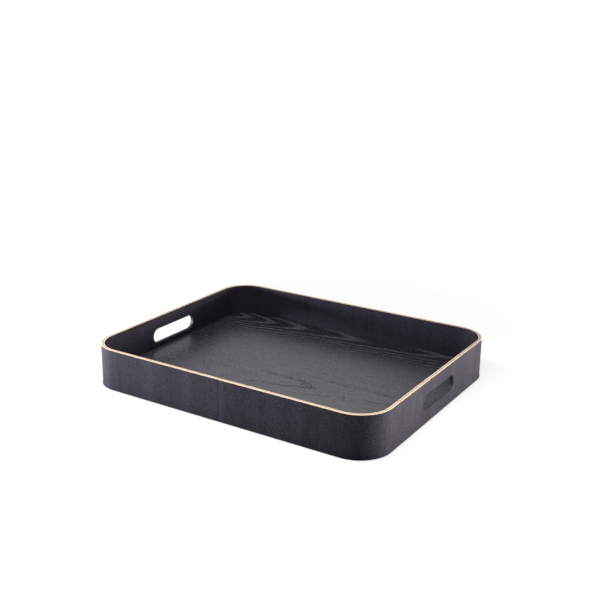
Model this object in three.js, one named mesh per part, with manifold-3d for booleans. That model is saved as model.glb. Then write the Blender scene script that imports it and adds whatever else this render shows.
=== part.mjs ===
// Serving tray with bent plywood walls, a plywood base held in a groove and two finger slots.
// Millimetres, +Z up. The origin is the centre of the footprint, on the surface that the tray stands on.
// X runs along the long side, and the front long wall is at -Y.
import * as THREE from "three";
import { mergeVertices } from "three/addons/utils/BufferGeometryUtils.js";
import Module from "manifold-3d";

// Overall size, outside
const LENGTH = 500;
const WIDTH = 400;
const HEIGHT = 65;
const CORNER_RADIUS = 50;

// Wall sheet, from the outside in: face, core, core, core, face
const WALL_FACE_PLY = 0.6;
const WALL_CORE_PLY = 1.5;

// Base sheet, from the top down: face, core, core, core, face
const BASE_FACE_PLY = 0.6;
const BASE_CORE_PLY = 1.5;
const BASE_UNDERSIDE = 6; // height of the underside above the table

// Gaps
const GLUE_LINE = 0.05; // between two plies of one sheet
const GROOVE_CLEARANCE = 0.1; // above and below the base in its groove
const PANEL_EDGE_CLEARANCE = 0.3; // between the base's edge and the bottom of the groove
const SEAM_GAP = 0.3; // between the two halves of the wall
const EASED_EDGE = 0.4; // how far the face plies stop short of the rim and of the table

// Lap of the seams: the middle ply of one half enters the other half this far
const SEAM_LAP = 12;

// Finger slots, one in each end wall
const SLOT_LENGTH = 105;
const SLOT_HEIGHT = 24;
const SLOT_CENTRE_HEIGHT = 32;

// Divisions of a corner and of a slot's end. An arc gets two facets for each division.
const CORNER_SEGMENTS = 8;
const SLOT_END_SEGMENTS = 8;

// Insets of each wall ply from the outside: where it starts and where it ends
const OUTER_FACE = { start: 0, end: WALL_FACE_PLY };
const OUTER_CORE = nextPly(OUTER_FACE, WALL_CORE_PLY);
const MIDDLE_CORE = nextPly(OUTER_CORE, WALL_CORE_PLY);
const INNER_CORE = nextPly(MIDDLE_CORE, WALL_CORE_PLY);
const INNER_FACE = nextPly(INNER_CORE, WALL_FACE_PLY);

// Heights of each base ply: where it starts and where it ends
const BASE_BACKING = { start: BASE_UNDERSIDE, end: BASE_UNDERSIDE + BASE_FACE_PLY };
const BASE_LOWER_CORE = nextPly(BASE_BACKING, BASE_CORE_PLY);
const BASE_MIDDLE_CORE = nextPly(BASE_LOWER_CORE, BASE_CORE_PLY);
const BASE_UPPER_CORE = nextPly(BASE_MIDDLE_CORE, BASE_CORE_PLY);
const BASE_TOP = nextPly(BASE_UPPER_CORE, BASE_FACE_PLY);

// The groove cuts the two inner plies of the wall into a strip above the base and a strip below it
const GROOVE_FLOOR = BASE_BACKING.start - GROOVE_CLEARANCE;
const GROOVE_ROOF = BASE_TOP.end + GROOVE_CLEARANCE;
const PANEL_INSET = MIDDLE_CORE.end + PANEL_EDGE_CLEARANCE;

const FULL_HEIGHT = { start: 0, end: HEIGHT };
const FACE_HEIGHT = { start: EASED_EDGE, end: HEIGHT - EASED_EDGE };
const CORE_ABOVE_GROOVE = { start: GROOVE_ROOF, end: HEIGHT };
const CORE_BELOW_GROOVE = { start: 0, end: GROOVE_FLOOR };
const FACE_ABOVE_GROOVE = { start: GROOVE_ROOF, end: HEIGHT - EASED_EDGE };
const FACE_BELOW_GROOVE = { start: EASED_EDGE, end: GROOVE_FLOOR };

const wasm = await Module();
wasm.setup();

function nextPly(previous, thickness) {
  const start = previous.end + GLUE_LINE;
  return { start, end: start + thickness };
}

// A quarter of the plan at a given inset from the outside of the tray
function planAt(inset) {
  return {
    x: LENGTH / 2 - inset,
    y: WIDTH / 2 - inset,
    radius: CORNER_RADIUS - inset,
  };
}

function upright(shape, span, curveSegments) {
  const depth = span.end - span.start;
  const geometry = new THREE.ExtrudeGeometry(shape, { depth, bevelEnabled: false, curveSegments });
  geometry.translate(0, 0, span.start);
  return geometry;
}

// The right half of a ring between two insets: front wall, corner, end wall, corner, back wall.
// frontEnd and backEnd are the X where the ply stops in the front and back walls.
function halfRing(ply, frontEnd, backEnd) {
  const outer = planAt(ply.start);
  const inner = planAt(ply.end);
  const quarter = Math.PI / 2;
  const shape = new THREE.Shape();
  shape.moveTo(frontEnd, -outer.y);
  shape.absarc(outer.x - outer.radius, outer.radius - outer.y, outer.radius, -quarter, 0, false);
  shape.absarc(outer.x - outer.radius, outer.y - outer.radius, outer.radius, 0, quarter, false);
  shape.lineTo(backEnd, outer.y);
  shape.lineTo(backEnd, inner.y);
  shape.absarc(inner.x - inner.radius, inner.y - inner.radius, inner.radius, quarter, 0, true);
  shape.absarc(inner.x - inner.radius, inner.radius - inner.y, inner.radius, 0, -quarter, true);
  shape.lineTo(frontEnd, -inner.y);
  shape.closePath();
  return shape;
}

function roundedPanel(inset) {
  const plan = planAt(inset);
  const x = plan.x - plan.radius;
  const y = plan.y - plan.radius;
  const quarter = Math.PI / 2;
  const shape = new THREE.Shape();
  shape.absarc(x, -y, plan.radius, -quarter, 0, false);
  shape.absarc(x, y, plan.radius, 0, quarter, false);
  shape.absarc(-x, y, plan.radius, quarter, 2 * quarter, false);
  shape.absarc(-x, -y, plan.radius, 2 * quarter, 3 * quarter, false);
  shape.closePath();
  return shape;
}

// A bar with round ends that lies along Y, at the slot's height, and passes through the end wall
function slotBar() {
  const radius = SLOT_HEIGHT / 2;
  const reach = SLOT_LENGTH / 2 - radius;
  const quarter = Math.PI / 2;
  const shape = new THREE.Shape();
  shape.absarc(reach, 0, radius, -quarter, quarter, false);
  shape.absarc(-reach, 0, radius, quarter, 3 * quarter, false);
  shape.closePath();
  const through = { start: LENGTH / 2 - INNER_FACE.end * 2, end: LENGTH / 2 + INNER_FACE.end };
  const geometry = upright(shape, through, SLOT_END_SEGMENTS);
  const alongY = new THREE.Vector3(0, 1, 0);
  const alongZ = new THREE.Vector3(0, 0, 1);
  const alongX = new THREE.Vector3(1, 0, 0);
  geometry.applyMatrix4(new THREE.Matrix4().makeBasis(alongY, alongZ, alongX));
  geometry.translate(0, 0, SLOT_CENTRE_HEIGHT);
  return geometry;
}

function toSolid(geometry) {
  const bare = geometry.clone();
  bare.deleteAttribute("normal");
  bare.deleteAttribute("uv");
  const merged = mergeVertices(bare, 1e-4);
  return new wasm.Manifold(new wasm.Mesh({
    numProp: 3,
    vertProperties: new Float32Array(merged.attributes.position.array),
    triVerts: new Uint32Array(merged.index.array),
  }));
}

function toGeometry(solid) {
  const mesh = solid.getMesh();
  const geometry = new THREE.BufferGeometry();
  geometry.setAttribute("position", new THREE.BufferAttribute(mesh.vertProperties, 3));
  geometry.setIndex(new THREE.BufferAttribute(mesh.triVerts, 1));
  geometry.computeVertexNormals();
  return geometry;
}

function stainedWall() {
  return new THREE.MeshStandardMaterial({ color: 0x38363c, roughness: 0.55, metalness: 0 });
}

function stainedBase() {
  return new THREE.MeshStandardMaterial({ color: 0x34343a, roughness: 0.35, metalness: 0 });
}

function rawLongPly() {
  return new THREE.MeshStandardMaterial({ color: 0xe3bd93, roughness: 0.7, metalness: 0 });
}

function rawCrossPly() {
  return new THREE.MeshStandardMaterial({ color: 0xb98a63, roughness: 0.75, metalness: 0 });
}

function addMesh(parent, name, geometry, material) {
  const mesh = new THREE.Mesh(geometry, material);
  mesh.name = name;
  parent.add(mesh);
}

// One half of the wall, modelled on the right. The left half is the same piece turned half a turn.
function wallHalf(side) {
  const half = new THREE.Group();
  const butt = SEAM_GAP / 2;
  const slot = toSolid(slotBar());

  function addPly(name, ply, span, material, { lapped = false, slotted = true } = {}) {
    const frontEnd = lapped ? butt - SEAM_LAP : butt;
    const backEnd = lapped ? butt + SEAM_LAP : butt;
    const strip = upright(halfRing(ply, frontEnd, backEnd), span, CORNER_SEGMENTS);
    const solid = toSolid(strip);
    const geometry = toGeometry(slotted ? solid.subtract(slot) : solid);
    addMesh(half, `${name}_${side}`, geometry, material);
  }

  addPly("outer_face_veneer", OUTER_FACE, FACE_HEIGHT, stainedWall());
  addPly("outer_core_ply", OUTER_CORE, FULL_HEIGHT, rawLongPly());
  addPly("middle_core_ply", MIDDLE_CORE, FULL_HEIGHT, rawCrossPly(), { lapped: true });
  addPly("inner_core_ply_upper", INNER_CORE, CORE_ABOVE_GROOVE, rawLongPly());
  addPly("inner_core_ply_lower", INNER_CORE, CORE_BELOW_GROOVE, rawLongPly(), { slotted: false });
  addPly("inner_face_veneer_upper", INNER_FACE, FACE_ABOVE_GROOVE, stainedWall());
  addPly("inner_face_veneer_lower", INNER_FACE, FACE_BELOW_GROOVE, stainedWall(), { slotted: false });
  return half;
}

function basePanel() {
  const panel = new THREE.Group();
  const outline = roundedPanel(PANEL_INSET);

  function addPly(name, span, material) {
    addMesh(panel, name, upright(outline, span, CORNER_SEGMENTS), material);
  }

  addPly("base_top_veneer", BASE_TOP, stainedBase());
  addPly("base_upper_core_ply", BASE_UPPER_CORE, rawCrossPly());
  addPly("base_middle_core_ply", BASE_MIDDLE_CORE, rawLongPly());
  addPly("base_lower_core_ply", BASE_LOWER_CORE, rawCrossPly());
  addPly("base_backing_veneer", BASE_BACKING, stainedBase());
  return panel;
}

const tray = new THREE.Group();
tray.name = "serving_tray";

const rightHalf = wallHalf("right");
const leftHalf = wallHalf("left");
leftHalf.rotation.z = Math.PI;

tray.add(rightHalf, leftHalf, basePanel());

export default tray;
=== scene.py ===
import math
from collections import namedtuple
import bmesh
import bpy
from mathutils import Matrix, Vector


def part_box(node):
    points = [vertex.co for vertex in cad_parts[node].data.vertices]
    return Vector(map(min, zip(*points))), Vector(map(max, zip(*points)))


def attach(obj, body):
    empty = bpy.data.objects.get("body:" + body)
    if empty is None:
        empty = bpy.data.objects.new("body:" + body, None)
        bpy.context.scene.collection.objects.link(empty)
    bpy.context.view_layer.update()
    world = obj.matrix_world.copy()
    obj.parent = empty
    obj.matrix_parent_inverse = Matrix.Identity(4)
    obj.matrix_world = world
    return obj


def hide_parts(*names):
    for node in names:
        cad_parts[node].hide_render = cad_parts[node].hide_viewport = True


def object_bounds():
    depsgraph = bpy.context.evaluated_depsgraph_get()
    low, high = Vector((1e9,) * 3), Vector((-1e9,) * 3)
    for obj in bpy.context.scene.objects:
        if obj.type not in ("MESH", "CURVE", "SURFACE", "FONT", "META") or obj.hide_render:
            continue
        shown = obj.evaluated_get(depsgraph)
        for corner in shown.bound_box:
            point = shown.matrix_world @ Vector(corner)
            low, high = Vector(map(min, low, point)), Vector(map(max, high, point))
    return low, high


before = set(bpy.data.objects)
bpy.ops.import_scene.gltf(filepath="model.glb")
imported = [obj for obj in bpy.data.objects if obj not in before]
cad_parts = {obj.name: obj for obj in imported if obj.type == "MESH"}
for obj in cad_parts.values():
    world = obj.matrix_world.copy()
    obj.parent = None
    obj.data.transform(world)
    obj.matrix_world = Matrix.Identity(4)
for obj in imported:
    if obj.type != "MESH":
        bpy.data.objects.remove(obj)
cad_low, cad_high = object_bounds()

# Sizes, in metres
MM = 0.001
HALF_LENGTH = cad_high.x
HALF_WIDTH = cad_high.y
RIM_HEIGHT = cad_high.z
CORNER_RADIUS = 50 * MM
FACE_PLY = 0.6 * MM
CORE_PLY = 1.5 * MM
WALL = HALF_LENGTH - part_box("inner_face_veneer_upper_right")[1].x + FACE_PLY
STRAIGHT_X = HALF_LENGTH - CORNER_RADIUS
STRAIGHT_Y = HALF_WIDTH - CORNER_RADIUS
CORNER_RUN = CORNER_RADIUS * math.pi / 2
HALF_RUN = 2 * STRAIGHT_X + 2 * CORNER_RUN + 2 * STRAIGHT_Y

# Seams of the two wall halves: half their gaps, and how far the middle ply laps past one
FACE_SEAM = 0.10 * MM
CORE_SEAM = 0.04 * MM
SEAM_LAP = 12 * MM

# Finger slots, and how far their cutter reaches past the wall's faces
SLOT_LENGTH = 105 * MM
SLOT_HEIGHT = 24 * MM
SLOT_CENTRE = 32 * MM
CUT_PAST = 2 * MM

# Roundings of the edges, and how far past each a row of points keeps the flat face's shading flat
RIM_EASE = 0.5 * MM
SLOT_EASE = 0.6 * MM
EASE_STEPS = 4
SUPPORT = 0.3 * MM

# Facets of the round stretches, up to what turn an edge is shaded smooth, and how near two points are one
CORNER_STEPS = 40
SLOT_END_STEPS = 32
SMOOTH_BELOW = math.radians(9)
SAME_POINT = 0.0001 * MM

# Heights between which the stain of the sides gives way to the bare rim
STAIN_END = RIM_HEIGHT - 0.42 * MM
BARE_START = RIM_HEIGHT - 0.22 * MM

# Upright leaves of the wall's outer veneer: their width, and the seed of their random tones, picked so the
# tones also paint light and shade: darker before the front right corner, lighter round it and on the near
# right wall, darker at its far end
LEAF_WIDTH = 70 * MM
LEAF_TONE_AND_LIGHT_SEED = 62467

# Figure of the base's veneer: its turn from X, then the middle line, ring width and bluntness of its
# two leaves, and how much the front one leans
FIGURE_TURN = math.radians(2.2)
BACK_MIDDLE = 177 * MM
BACK_RING = 11 * MM
BACK_BLUNTNESS = 16 * MM
FRONT_MIDDLE = -52 * MM
FRONT_RING = 10.5 * MM
FRONT_BLUNTNESS = 50 * MM
FRONT_LEAN = 0.12

# How many rings the taper takes off in the middle, and over what length that fades to the right
TAPER_RINGS = 2.45
TAPER_LENGTH = 270 * MM

# Camera, fitted to the outline of the tray in the photograph
CAMERA_PLACE = Vector((0.74724, -1.17487, 0.58096))
CAMERA_AZIMUTH = math.radians(32.4381)
CAMERA_ELEVATION = math.radians(17.8869)
CAMERA_ROLL = math.radians(0.4988)
CAMERA_LENS = 56.8437
CAMERA_SENSOR = 36.0

# Room as reflections show it: where its bright backdrop is, from +X, how bright that is at the floor and
# at its top, how far up that is, as the sine of the angle, and how dim the rest is
BACKDROP_MIDDLE = math.radians(122.5)
BACKDROP_REACH = math.radians(8.5)
BACKDROP_FADE = math.radians(3)
BACKDROP_LOW = 0.3
BACKDROP_HIGH = 1.5
BACKDROP_TOP = 0.7
DIM_ROOM = 0.22

# Even light of the sky, where it isn't reflected
SKY_LIGHT = 0.05

# Floor: its half size, the distances from the tray's middle between which it turns white, how white it is
# nearer than that, the width and tone of a painted contact shadow at the tray's foot, and how far out a
# painted shade dims it in reflections
FLOOR_HALF = 20.0
WHITE_START = 0.35
WHITE_FULL = 1.0
NEAR_WHITE = 0.74
FOOT_SHADOW_WIDTH = 1.6 * MM
FOOT_SHADOW_WHITE = 0.1
PAINTED_SHADE_REACH = 70 * MM

# What the lamps round the tray are aimed at, and where the narrow one hangs over the front
TRAY_MIDDLE = Vector((0.0, 0.0, RIM_HEIGHT / 2))
TOP_LAMP = Vector((0.0, -0.17, 0.6))


# Mesh helpers


def link(name, mesh):
    piece = bpy.data.objects.new(name, mesh)
    bpy.context.scene.collection.objects.link(piece)
    return piece


def mesh_from(bm, name):
    bmesh.ops.recalc_face_normals(bm, faces=bm.faces[:])
    mesh = bpy.data.meshes.new(name)
    bm.to_mesh(mesh)
    bm.free()
    return mesh


def skin(bm, rings):
    """Faces between each ring of points and the next, and over the first and the last ring."""
    count = len(rings[0])
    for ring, following in zip(rings, rings[1:]):
        for i in range(count):
            j = (i + 1) % count
            bm.faces.new((ring[i], ring[j], following[j], following[i]))
    bm.faces.new(rings[0])
    bm.faces.new(rings[-1])


def half_path(front_end, back_end):
    """Plan points of the right half of the outside, from the front seam round to the back seam,
    each with the outward normal there."""
    path = []

    def straight(points, normal):
        for point in points:
            path.append((Vector(point), Vector(normal)))

    def corner(centre, start):
        for step in range(CORNER_STEPS + 1):
            angle = start + math.pi / 2 * step / CORNER_STEPS
            normal = Vector((math.cos(angle), math.sin(angle)))
            path.append((Vector(centre) + normal * CORNER_RADIUS, normal))

    near = STRAIGHT_X - MM
    straight([(front_end, -HALF_WIDTH), (near, -HALF_WIDTH)], (0, -1))
    corner((STRAIGHT_X, -STRAIGHT_Y), -math.pi / 2)
    straight([(HALF_LENGTH, MM - STRAIGHT_Y), (HALF_LENGTH, STRAIGHT_Y - MM)], (1, 0))
    corner((STRAIGHT_X, STRAIGHT_Y), 0)
    straight([(near, HALF_WIDTH), (back_end, HALF_WIDTH)], (0, 1))
    return path


def run_at(x, y):
    """How far along the wall a plan point of the right half is, from the front seam."""
    if x <= STRAIGHT_X:
        return x if y < 0 else HALF_RUN - x
    half = STRAIGHT_X + CORNER_RUN + STRAIGHT_Y
    if abs(y) <= STRAIGHT_Y:
        return half + y
    turned = CORNER_RADIUS * math.atan2(abs(y) - STRAIGHT_Y, x - STRAIGHT_X)
    return half + math.copysign(STRAIGHT_Y + turned, y)


def sweep(path, profile):
    """A closed solid with the profile's (inset, height) points carried along the path."""
    bm = bmesh.new()
    rings = []
    for point, normal in path:
        ring = []
        for inset, height in profile:
            plan = point - normal * inset
            ring.append(bm.verts.new((plan.x, plan.y, height)))
        rings.append(ring)
    skin(bm, rings)
    return bm


def ply_profile(start, end, low, high, eased):
    """Section of a ply: a strip between two insets and two heights. The shown face of an eased one is
    rounded at the rim and, if it reaches that far down, at the lower edge."""
    if eased is None:
        return [(start, low), (end, low), (end, high), (start, high)]
    shown, hidden = (start, end) if eased == "outer" else (end, start)
    inward = math.copysign(1, hidden - shown)
    turns = [math.pi / 2 * step / EASE_STEPS for step in range(EASE_STEPS + 1)]
    profile = [(hidden, low), (hidden, high)]
    for turn in turns:
        inset = shown + inward * RIM_EASE * (1 - math.sin(turn))
        profile.append((inset, high - RIM_EASE * (1 - math.cos(turn))))
    profile.append((shown, high - RIM_EASE - SUPPORT))
    if low > MM:
        profile.append((shown, low))
        return profile
    profile.append((shown, low + RIM_EASE + SUPPORT))
    for turn in turns:
        inset = shown + inward * RIM_EASE * (1 - math.cos(turn))
        profile.append((inset, low + RIM_EASE * (1 - math.sin(turn))))
    return profile


def slot_cutter():
    """A bar with round ends through the right end wall, flared where it meets the two faces."""
    reach = (SLOT_LENGTH - SLOT_HEIGHT) / 2
    sections = [(-CUT_PAST, SLOT_EASE + CUT_PAST)]
    for step in range(EASE_STEPS + 1):
        turn = math.pi / 2 * (1 - step / EASE_STEPS)
        sections.append((SLOT_EASE * (1 - math.sin(turn)), SLOT_EASE * (1 - math.cos(turn))))
    sections += [(WALL - depth, flare) for depth, flare in reversed(sections)]
    bm = bmesh.new()
    rings = []
    for depth, flare in sections:
        radius = SLOT_HEIGHT / 2 + flare
        ring = []
        for side in (1, -1):
            for step in range(SLOT_END_STEPS + 1):
                angle = math.pi * (step / SLOT_END_STEPS - 0.5)
                y = side * (reach + radius * math.cos(angle))
                z = SLOT_CENTRE + side * radius * math.sin(angle)
                ring.append(bm.verts.new((HALF_LENGTH - depth, y, z)))
        rings.append(ring)
    skin(bm, rings)
    return link("slot_cutter", mesh_from(bm, "slot_cutter"))


def cut(mesh, cutter):
    blank = link("blank", mesh)
    boolean = blank.modifiers.new("slot", "BOOLEAN")
    boolean.solver = "EXACT"
    boolean.object = cutter
    graph = bpy.context.evaluated_depsgraph_get()
    result = bpy.data.meshes.new_from_object(blank.evaluated_get(graph))
    bpy.data.objects.remove(blank)
    return result


def finish_mesh(mesh):
    """Smooth shading, except across edges that turn more than a facet of a corner does."""
    bm = bmesh.new()
    bm.from_mesh(mesh)
    bmesh.ops.dissolve_degenerate(bm, dist=SAME_POINT, edges=bm.edges[:])
    for face in bm.faces:
        face.smooth = True
    for edge in bm.edges:
        edge.smooth = edge.calc_face_angle(math.pi) < SMOOTH_BELOW
    bm.to_mesh(mesh)
    bm.free()


def add_grain(mesh, shift):
    """Keeps the run along the wall, the height and the way to the nearer seam, for the wood to follow."""
    grain = mesh.attributes.new("grain", "FLOAT_VECTOR", "POINT")
    for vertex, kept in zip(mesh.vertices, grain.data):
        x, y, z = vertex.co
        run = run_at(x, y)
        kept.vector = (run + shift, z, min(run, HALF_RUN - run))


def add_piece(node, mesh, material):
    mesh.materials.clear()
    mesh.materials.append(material)
    piece = link(f"tray_{node}", mesh)
    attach(piece, "root")
    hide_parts(node)


# Shader helpers


class Nodes:
    """Adds nodes to a tree. A value may be a number, a colour or another node's output."""

    def __init__(self, tree):
        self.tree = tree

    def put(self, socket, value):
        if isinstance(value, bpy.types.NodeSocket):
            self.tree.links.new(value, socket)
        else:
            socket.default_value = value

    def math(self, operation, *values):
        node = self.tree.nodes.new("ShaderNodeMath")
        node.operation = operation
        for socket, value in zip(node.inputs, values):
            self.put(socket, value)
        return node.outputs[0]

    def add(self, a, b):
        return self.math("ADD", a, b)

    def minus(self, a, b):
        return self.math("SUBTRACT", a, b)

    def times(self, a, b):
        return self.math("MULTIPLY", a, b)

    def length(self, x, y):
        return self.math("SQRT", self.add(self.times(x, x), self.times(y, y)))

    def turned(self, x, y, angle):
        """How far a point is along a line at this angle from X, and how far across it."""
        along = self.add(self.times(x, math.cos(angle)), self.times(y, math.sin(angle)))
        across = self.add(self.times(y, math.cos(angle)), self.times(x, -math.sin(angle)))
        return along, across

    def coordinates(self, kind):
        node = self.tree.nodes.new("ShaderNodeTexCoord")
        return node.outputs[kind]

    def ray(self, kind):
        node = self.tree.nodes.new("ShaderNodeLightPath")
        return node.outputs[kind]

    def attribute(self, name):
        node = self.tree.nodes.new("ShaderNodeAttribute")
        node.attribute_name = name
        return node.outputs["Vector"]

    def parts(self, vector):
        node = self.tree.nodes.new("ShaderNodeSeparateXYZ")
        self.put(node.inputs[0], vector)
        return node.outputs

    def vector(self, x, y, z):
        node = self.tree.nodes.new("ShaderNodeCombineXYZ")
        for socket, value in zip(node.inputs, (x, y, z)):
            self.put(socket, value)
        return node.outputs[0]

    def noise(self, x, y, per_x, per_y, seed, detail=2.0, roughness=0.5):
        """Noise with so many cells per metre along x and y, from 0 to 1."""
        node = self.tree.nodes.new("ShaderNodeTexNoise")
        node.noise_dimensions = "3D"
        place = self.vector(self.times(x, per_x), self.times(y, per_y), seed)
        self.put(node.inputs["Vector"], place)
        self.put(node.inputs["Scale"], 1.0)
        self.put(node.inputs["Detail"], detail)
        self.put(node.inputs["Roughness"], roughness)
        return node.outputs["Fac"]

    def chance(self, number):
        """A random value from 0 to 1 for each whole number."""
        node = self.tree.nodes.new("ShaderNodeTexWhiteNoise")
        node.noise_dimensions = "1D"
        self.put(node.inputs["W"], number)
        return node.outputs["Value"]

    def rise(self, value, low, high, bottom=0.0, top=1.0):
        """A smooth rise from bottom to top as value goes from low to high."""
        node = self.tree.nodes.new("ShaderNodeMapRange")
        node.interpolation_type = "SMOOTHSTEP"
        for socket, number in zip(node.inputs, (value, low, high, bottom, top)):
            self.put(socket, number)
        return node.outputs[0]

    def fall(self, value, low, high, bottom=0.0):
        """A smooth fall from 1 to bottom as value goes from low to high."""
        return self.rise(value, low, high, 1.0, bottom)

    def mix(self, share, a, b):
        node = self.tree.nodes.new("ShaderNodeMix")
        self.put(node.inputs[0], share)
        self.put(node.inputs[2], a)
        self.put(node.inputs[3], b)
        return node.outputs[0]

    def blend(self, share, a, b):
        node = self.tree.nodes.new("ShaderNodeMix")
        node.data_type = "RGBA"
        self.put(node.inputs[0], share)
        self.put(node.inputs[6], a)
        self.put(node.inputs[7], b)
        return node.outputs[2]


class Shader(Nodes):
    """One material, with its surface shader."""

    def __init__(self, name):
        self.material = bpy.data.materials.new(name)
        self.material.use_nodes = True
        super().__init__(self.material.node_tree)
        self.surface = self.tree.nodes["Principled BSDF"]

    def set(self, **values):
        for name, value in values.items():
            self.put(self.surface.inputs[name.replace("_", " ")], value)

    def bump(self, height, depth):
        """Relief of so many metres for a height that runs from 0 to 1."""
        node = self.tree.nodes.new("ShaderNodeBump")
        self.put(node.inputs["Strength"], 1.0)
        self.put(node.inputs["Distance"], depth)
        self.put(node.inputs["Height"], height)
        self.put(self.surface.inputs["Normal"], node.outputs[0])


def colour(red, green, blue):
    return (red, green, blue, 1.0)


# Materials


def base_wood(name, seed):
    """Black-stained open-pored veneer with a cathedral figure that runs along X."""
    wood = Shader(name)
    x, y, _ = wood.parts(wood.coordinates("Object"))
    along, across = wood.turned(x, y, FIGURE_TURN)

    # Growth rings: two leaves that close to the right, blunt in the middle and straight at the sides
    def leaf(off, ring, bluntness, shift):
        rounded = wood.math("SQRT", wood.add(wood.times(off, off), bluntness ** 2))
        bowed = wood.times(wood.minus(rounded, bluntness), 1 / ring)
        tapered = wood.math("EXPONENT", wood.times(along, -1 / TAPER_LENGTH))
        return wood.minus(wood.add(bowed, shift), wood.times(tapered, TAPER_RINGS))

    off_back = wood.minus(across, BACK_MIDDLE)
    off_front = wood.minus(across, wood.add(wood.times(along, FRONT_LEAN), FRONT_MIDDLE))
    back_leaf = leaf(off_back, BACK_RING, BACK_BLUNTNESS, shift=0.35)
    front_leaf = leaf(off_front, FRONT_RING, FRONT_BLUNTNESS, shift=0.0)
    rings = wood.math("SMOOTH_MIN", back_leaf, front_leaf, 1.5)
    wander = wood.minus(wood.noise(along, across, 6, 18, seed), 0.5)
    ragged = wood.minus(wood.noise(along, across, 30, 160, seed + 3), 0.5)
    rings = wood.add(rings, wood.add(wood.times(wander, 1.6), wood.times(ragged, 0.35)))

    # Place within a ring, from 0 to 1, with its early and its dense wood, and the places of the two leaves
    phase = wood.math("FRACT", rings)
    early = wood.times(wood.rise(phase, 0.0, 0.12), wood.fall(phase, 0.28, 0.55))
    dense = wood.times(wood.rise(phase, 0.50, 0.75), wood.fall(phase, 0.94, 1.0))
    near_back = wood.rise(across, 105 * MM, 155 * MM)
    near_front = wood.fall(wood.math("ABSOLUTE", off_front), 20 * MM, 60 * MM)

    # Pores: short grooves along the grain, crowded in the early wood of the back leaf, even elsewhere
    cluster = wood.minus(wood.noise(along, across, 130, 420, seed + 13, roughness=0.6), 0.5)
    dash = wood.noise(along, across, 110, 1500, seed + 11, roughness=0.6)
    crowding = wood.times(wood.minus(early, 0.45), wood.mix(near_back, 0.08, 0.30))
    open_share = wood.add(wood.times(cluster, wood.mix(near_back, 0.4, 0.8)), crowding)
    pores = wood.rise(wood.add(dash, open_share), 0.60, 0.67)

    # A few deep pores in rows where the rings of the front leaf begin
    reach = wood.times(wood.rise(along, -90 * MM, -30 * MM), wood.fall(along, 60 * MM, 130 * MM, 0.8))
    row = wood.times(wood.rise(phase, 0.70, 0.85), wood.times(near_front, reach))
    groove = wood.noise(along, across, 110, 640, seed + 17)
    deep = wood.rise(wood.minus(groove, wood.mix(row, 0.78, 0.50)), 0.0, 0.05)

    # Colour: dark and light wood in streaks and specks, black deep pores, and pale pores: partly the
    # pores' own greyer wood, partly a painted highlight for the glints their slopes catch
    streak = wood.noise(along, across, 22, 420, seed + 7, detail=5.0, roughness=0.68)
    speck = wood.noise(along, across, 420, 190, seed + 19, roughness=0.6)
    tone = wood.rise(wood.add(wood.times(streak, 0.3), wood.times(speck, 0.7)), 0.40, 0.60)
    late = wood.blend(tone, colour(0.004, 0.004, 0.0055), colour(0.031, 0.030, 0.040))
    grain = wood.blend(pores, late, colour(0.072, 0.071, 0.087))
    wood.set(Base_Color=wood.blend(deep, grain, colour(0.004, 0.004, 0.005)))

    # Gloss: smooth on the dense wood of the back leaf, rough in the pores
    smooth = wood.mix(wood.times(dense, near_back), 0.35, 0.18)
    gloss = wood.minus(wood.mix(pores, smooth, 0.68), wood.times(tone, 0.08))
    wood.set(Roughness=wood.mix(deep, gloss, 0.85))
    wood.bump(wood.minus(wood.times(streak, 0.3), wood.math("MAXIMUM", pores, deep)), 0.12 * MM)
    wood.set(IOR=1.5, Specular_IOR_Level=0.695, Specular_Tint=colour(0.895, 0.88, 1.0))
    return wood.material


def rim_mask(wood, height):
    """1 on the raw rim, 0 on the stained sides."""
    return wood.rise(height, STAIN_END, BARE_START)


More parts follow.
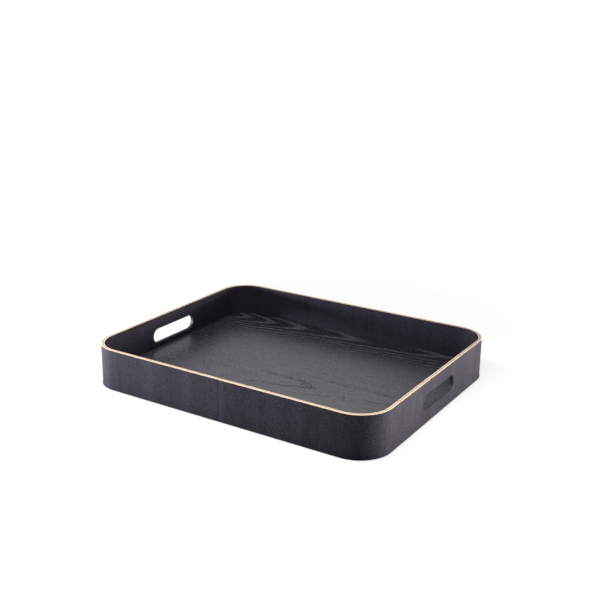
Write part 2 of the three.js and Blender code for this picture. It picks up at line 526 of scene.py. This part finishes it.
def wall_wood(name, seed, outside):
    """Black-stained fine-pored veneer with upright grain. On the outside it is in leaves side by side,
    shows the joint of the two halves and is bare on the rim."""
    wood = Shader(name)
    run, height, seam = wood.parts(wood.attribute("grain"))
    band = wood.noise(run, height, 34, 2, seed, detail=3.0, roughness=0.6)
    mottle = wood.noise(run, height, 760, 520, seed + 2, detail=3.0, roughness=0.65)
    fibre = wood.noise(run, height, 1100, 40, seed + 5, detail=3.0, roughness=0.6)
    dash = wood.noise(run, height, 850, 520, seed + 9, roughness=0.6)
    pores = wood.rise(dash, 0.54, 0.62)
    if outside:
        # Leaf tones: random for each leaf, from a seed that also lays painted light and shade along the
        # outside
        leaf = wood.math("DIVIDE", run, LEAF_WIDTH)
        leaf_number = wood.add(wood.math("FLOOR", leaf), LEAF_TONE_AND_LIGHT_SEED)
        leaf_tone_and_light = wood.minus(wood.chance(leaf_number), 0.3)
        leaf_edge = wood.rise(wood.math("FRACT", leaf), 0.7, 1.0)
        leaves = wood.add(wood.times(leaf_tone_and_light, 0.10), wood.times(leaf_edge, 0.03))
        slow = wood.add(wood.times(band, 0.17), leaves)
    else:
        slow = wood.add(wood.times(band, 0.12), 0.06)
    tone = wood.add(slow, wood.add(wood.times(mottle, 0.58), wood.times(fibre, 0.15)))
    lightness = wood.rise(tone, 0.365, 0.62)
    stain = wood.blend(lightness, colour(0.002, 0.0018, 0.003), colour(0.026, 0.023, 0.0365))
    stain = wood.blend(pores, stain, colour(0.002, 0.002, 0.003))

    # Outside: a dark glue line high up in each seam, a light streak beside the front one, and the bare rim
    if outside:
        glue = wood.times(wood.fall(seam, 0.4 * MM, 1.2 * MM), wood.rise(height, 20 * MM, 36 * MM))
        streak = wood.times(wood.rise(run, 1.5 * MM, 3 * MM), wood.fall(run, 8 * MM, 14 * MM))
        stain = wood.blend(wood.times(streak, 0.7), stain, colour(0.021, 0.019, 0.029))
        stain = wood.blend(glue, stain, colour(0.002, 0.002, 0.002))
        fibre_tone = wood.rise(fibre, 0.3, 0.7)
        raw = wood.blend(fibre_tone, colour(0.66, 0.47, 0.31), colour(0.82, 0.63, 0.45))
        stain = wood.blend(rim_mask(wood, height), stain, raw)
    wood.set(Base_Color=stain)
    wood.set(Roughness=wood.add(wood.mix(lightness, 0.77, 0.53), wood.times(pores, 0.12)))
    wood.bump(wood.minus(wood.times(fibre, 0.4), pores), 0.06 * MM)
    wood.set(IOR=1.5, Specular_IOR_Level=0.34, Specular_Tint=colour(0.84, 0.78, 1.0))
    return wood.material


def ply_wood(name, seed, dark, light, per_run):
    """Core ply: bare wood on the rim, stained black where a slot or the lower edge cuts it."""
    wood = Shader(name)
    run, height, _ = wood.parts(wood.attribute("grain"))
    x, y, _ = wood.parts(wood.coordinates("Object"))
    fibre = wood.noise(run, wood.add(x, y), per_run, 900, seed, detail=4.0, roughness=0.65)
    band = wood.noise(run, height, 14, 1, seed + 4, detail=3.0, roughness=0.6)
    tone = wood.add(wood.times(fibre, 0.6), wood.times(band, 0.4))
    raw = wood.blend(wood.rise(tone, 0.3, 0.7), dark, light)
    grime = wood.noise(run, height, 300, 120, seed + 8, detail=3.0, roughness=0.6)
    stain = wood.blend(grime, colour(0.018, 0.017, 0.022), colour(0.040, 0.037, 0.048))
    wood.set(Base_Color=wood.blend(rim_mask(wood, height), stain, raw))
    wood.set(Roughness=wood.mix(tone, 0.45, 0.65), IOR=1.5)
    wood.bump(fibre, 0.05 * MM)
    return wood.material


def long_ply(seed):
    dark, light = colour(0.77, 0.60, 0.435), colour(0.95, 0.80, 0.645)
    return ply_wood("long_grain_ply", seed, dark, light, per_run=90)


def cross_ply(seed):
    dark, light = colour(0.30, 0.16, 0.085), colour(0.50, 0.31, 0.18)
    return ply_wood("end_grain_ply", seed, dark, light, per_run=700)


def panel_ply(name, seed):
    """Bare core ply, for the sheets that lie between the veneers of the base."""
    wood = Shader(name)
    x, y, _ = wood.parts(wood.coordinates("Object"))
    fibre = wood.noise(x, y, 40, 900, seed, detail=4.0, roughness=0.65)
    dark, light = colour(0.50, 0.33, 0.20), colour(0.72, 0.53, 0.36)
    wood.set(Base_Color=wood.blend(wood.rise(fibre, 0.3, 0.7), dark, light))
    wood.set(Roughness=wood.mix(fibre, 0.5, 0.7), IOR=1.5)
    wood.bump(fibre, 0.05 * MM)
    return wood.material


# Wall

Sheet = namedtuple("Sheet", "material thickness slot")


def wall_ply(side, cutter, stem, sheet, eased=None, slotted=True, lapped=False):
    """One ply of a wall half. The left half is the right one turned half a turn."""
    node = f"{stem}_{side}"
    start = HALF_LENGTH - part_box(f"{stem}_right")[1].x
    low, high = (corner.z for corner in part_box(node))
    low = 0.0 if low < MM else low
    high = RIM_HEIGHT if high > RIM_HEIGHT - MM else high
    seam = FACE_SEAM if eased else CORE_SEAM
    front_end = seam - SEAM_LAP if lapped else seam
    back_end = seam + SEAM_LAP if lapped else seam
    profile = ply_profile(start, start + sheet.thickness, low, high, eased)
    mesh = mesh_from(sweep(half_path(front_end, back_end), profile), node)
    if slotted:
        mesh = cut(mesh, cutter)
    finish_mesh(mesh)
    add_grain(mesh, 0.0 if side == "right" else 2 * HALF_RUN)
    if side == "left":
        mesh.transform(Matrix.Rotation(math.pi, 4, "Z"))
    add_piece(node, mesh, sheet.material)


def wall():
    cutter = slot_cutter()
    outer_face = Sheet(wall_wood("stained_outer_veneer", 1.7, True), FACE_PLY, "stained_wall_veneer")
    inner_face = Sheet(wall_wood("stained_inner_veneer", 5.2, False), FACE_PLY, "stained_wall_veneer")
    long_core = Sheet(long_ply(4.1), CORE_PLY, "raw_long_ply")
    cross_core = Sheet(cross_ply(6.3), CORE_PLY, "raw_cross_ply")
    for side in ("right", "left"):
        wall_ply(side, cutter, "outer_face_veneer", outer_face, eased="outer")
        wall_ply(side, cutter, "outer_core_ply", long_core)
        wall_ply(side, cutter, "middle_core_ply", cross_core, lapped=True)
        wall_ply(side, cutter, "inner_core_ply_upper", long_core)
        wall_ply(side, cutter, "inner_core_ply_lower", long_core, slotted=False)
        wall_ply(side, cutter, "inner_face_veneer_upper", inner_face, eased="inner")
        wall_ply(side, cutter, "inner_face_veneer_lower", inner_face, slotted=False)
    bpy.data.objects.remove(cutter)


# Base


def base_veneer(node, material):
    low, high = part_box(node)
    radius = CORNER_RADIUS - (HALF_LENGTH - high.x)
    outline = []
    for quarter, (side_x, side_y) in enumerate(((1, -1), (1, 1), (-1, 1), (-1, -1))):
        centre = Vector((side_x * (high.x - radius), side_y * (high.y - radius)))
        for step in range(CORNER_STEPS + 1):
            angle = math.pi / 2 * (quarter - 1 + step / CORNER_STEPS)
            outline.append(centre + Vector((math.cos(angle), math.sin(angle))) * radius)
    bm = bmesh.new()
    rings = []
    for height in (low.z, high.z):
        rings.append([bm.verts.new((point.x, point.y, height)) for point in outline])
    skin(bm, rings)
    mesh = mesh_from(bm, node)
    finish_mesh(mesh)
    add_piece(node, mesh, material)


def base():
    base_veneer("base_top_veneer", base_wood("stained_base_veneer", 2.0))
    base_veneer("base_backing_veneer", base_wood("stained_backing_veneer", 31.0))


def base_cores():
    """The core plies of the base keep their solids, and get bare wood."""
    bare = panel_ply("bare_core_ply", 8.4)
    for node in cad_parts.values():
        if not node.hide_render:
            for slot in node.material_slots:
                slot.material = bare


# Stage


def camera():
    lens = bpy.data.cameras.new("camera")
    lens.sensor_fit = "AUTO"
    lens.sensor_width = CAMERA_SENSOR
    lens.lens = CAMERA_LENS
    lens.clip_start = 0.01
    lens.clip_end = 100.0
    holder = bpy.data.objects.new("camera", lens)
    bpy.context.scene.collection.objects.link(holder)
    bpy.context.scene.camera = holder
    back = Vector((
        math.sin(CAMERA_AZIMUTH) * math.cos(CAMERA_ELEVATION),
        -math.cos(CAMERA_AZIMUTH) * math.cos(CAMERA_ELEVATION),
        math.sin(CAMERA_ELEVATION),
    ))
    level = Vector((math.cos(CAMERA_AZIMUTH), math.sin(CAMERA_AZIMUTH), 0.0))
    upward = back.cross(level)
    right = level * math.cos(CAMERA_ROLL) + upward * math.sin(CAMERA_ROLL)
    up = upward * math.cos(CAMERA_ROLL) - level * math.sin(CAMERA_ROLL)
    turn = Matrix((right, up, back)).transposed()
    holder.matrix_world = Matrix.Translation(CAMERA_PLACE) @ turn.to_4x4()


def sky():
    """White as the background. In reflections it is a room with a bright backdrop on one side."""
    world = bpy.data.worlds.new("studio")
    bpy.context.scene.world = world
    world.use_nodes = True
    room = Nodes(world.node_tree)
    x, y, z = room.parts(room.coordinates("Generated"))
    ahead, aside = room.turned(x, y, BACKDROP_MIDDLE)
    turn = room.math("ABSOLUTE", room.math("ARCTAN2", aside, ahead))
    past_edge = room.rise(turn, BACKDROP_REACH - BACKDROP_FADE, BACKDROP_REACH + BACKDROP_FADE)
    backdrop = room.rise(z, 0.0, BACKDROP_TOP, BACKDROP_LOW, BACKDROP_HIGH)
    level = room.mix(room.ray("Is Glossy Ray"), SKY_LIGHT, room.mix(past_edge, backdrop, DIM_ROOM))
    level = room.mix(room.ray("Is Transmission Ray"), level, 1.0)
    level = room.mix(room.ray("Is Camera Ray"), level, 1.0)
    shade = room.tree.nodes["Background"]
    shade.inputs["Color"].default_value = colour(1, 1, 1)
    room.put(shade.inputs["Strength"], level)


def floor():
    """Pale floor that lights the tray as it is, and shows itself white but for the shadow, with a painted
    contact shadow at the tray's foot and a painted shade close to the tray in reflections.
    """
    bm = bmesh.new()
    bmesh.ops.create_grid(bm, x_segments=1, y_segments=1, size=FLOOR_HALF)
    ground = link("floor", mesh_from(bm, "floor"))
    pale = Shader("pale_floor")
    pale.set(Base_Color=colour(0.85, 0.85, 0.85), Roughness=0.9, Specular_IOR_Level=0.1)
    x, y, _ = pale.parts(pale.coordinates("Object"))

    # How far a point is from the outline of the tray
    past_x = pale.math("MAXIMUM", pale.minus(pale.math("ABSOLUTE", x), STRAIGHT_X), 0.0)
    past_y = pale.math("MAXIMUM", pale.minus(pale.math("ABSOLUTE", y), STRAIGHT_Y), 0.0)
    gap = pale.minus(pale.length(past_x, past_y), CORNER_RADIUS)

    # The camera sees it glow white, a little less near the tray, with a painted contact shadow in a thin
    # dark line at the tray's foot
    wide = pale.rise(pale.length(x, y), WHITE_START, WHITE_FULL, NEAR_WHITE, 1.0)
    white = pale.times(wide, pale.rise(gap, 0.0, FOOT_SHADOW_WIDTH, FOOT_SHADOW_WHITE, 1.0))

    # Reflections show it as it is lit, with a painted shade that darkens it close to the tray
    glossy = pale.ray("Is Glossy Ray")
    beyond_painted_shade = pale.rise(gap, 0.0, PAINTED_SHADE_REACH)
    lit = pale.tree.nodes.new("ShaderNodeBsdfDiffuse")
    shade = pale.mix(glossy, 0.36, pale.times(beyond_painted_shade, 0.9))
    pale.put(lit.inputs["Color"], pale.vector(shade, shade, shade))
    glow = pale.tree.nodes.new("ShaderNodeEmission")
    pale.put(glow.inputs["Strength"], pale.mix(glossy, white, pale.times(beyond_painted_shade, 0.28)))
    both = pale.tree.nodes.new("ShaderNodeAddShader")
    pale.put(both.inputs[0], lit.outputs[0])
    pale.put(both.inputs[1], glow.outputs[0])

    # All other rays meet the plain floor
    seen = pale.math("MAXIMUM", glossy, pale.ray("Is Transmission Ray"))
    pick = pale.tree.nodes.new("ShaderNodeMixShader")
    pale.put(pick.inputs[0], pale.math("MAXIMUM", seen, pale.ray("Is Camera Ray")))
    pale.put(pick.inputs[1], pale.surface.outputs[0])
    pale.put(pick.inputs[2], both.outputs[0])
    pale.put(pale.tree.nodes["Material Output"].inputs["Surface"], pick.outputs[0])
    ground.data.materials.append(pale.material)


def area_light(name, place, aim, size, power, tint=(1.0, 1.0, 1.0)):
    lamp = bpy.data.lights.new(name, "AREA")
    lamp.shape = "RECTANGLE"
    lamp.size, lamp.size_y = size
    lamp.energy = power
    lamp.color = tint
    holder = bpy.data.objects.new(name, lamp)
    holder.location = place
    holder.rotation_mode = "QUATERNION"
    holder.rotation_quaternion = (aim - place).to_track_quat("-Z", "Y")
    holder.visible_camera = False
    bpy.context.scene.collection.objects.link(holder)


def round_tray(azimuth, elevation, distance):
    """A point round the tray: azimuth from +X towards +Y, elevation above the floor, in degrees."""
    turn, lift = math.radians(azimuth), math.radians(elevation)
    flat = distance * math.cos(lift)
    return TRAY_MIDDLE + Vector((flat * math.cos(turn), flat * math.sin(turn), distance * math.sin(lift)))


def lamps():
    left = round_tray(azimuth=-150, elevation=3, distance=1.2)
    right = round_tray(azimuth=29, elevation=2.5, distance=1.5)
    back = round_tray(azimuth=120, elevation=45, distance=1.5)
    below_top = Vector((TOP_LAMP.x, TOP_LAMP.y, 0.0))
    area_light("left_strip", left, TRAY_MIDDLE, (0.8, 0.12), power=24.2, tint=(0.95, 0.96, 1.0))
    area_light("right_strip", right, TRAY_MIDDLE, (1.0, 0.15), power=40.0, tint=(1.0, 0.985, 0.94))
    area_light("back", back, TRAY_MIDDLE, (0.7, 0.7), power=1.1)
    area_light("top", TOP_LAMP, below_top, (0.9, 0.06), power=5.3)


camera()
sky()
lamps()
floor()
wall()
base()
base_cores()

bpy.context.scene.view_settings.view_transform = "Standard"
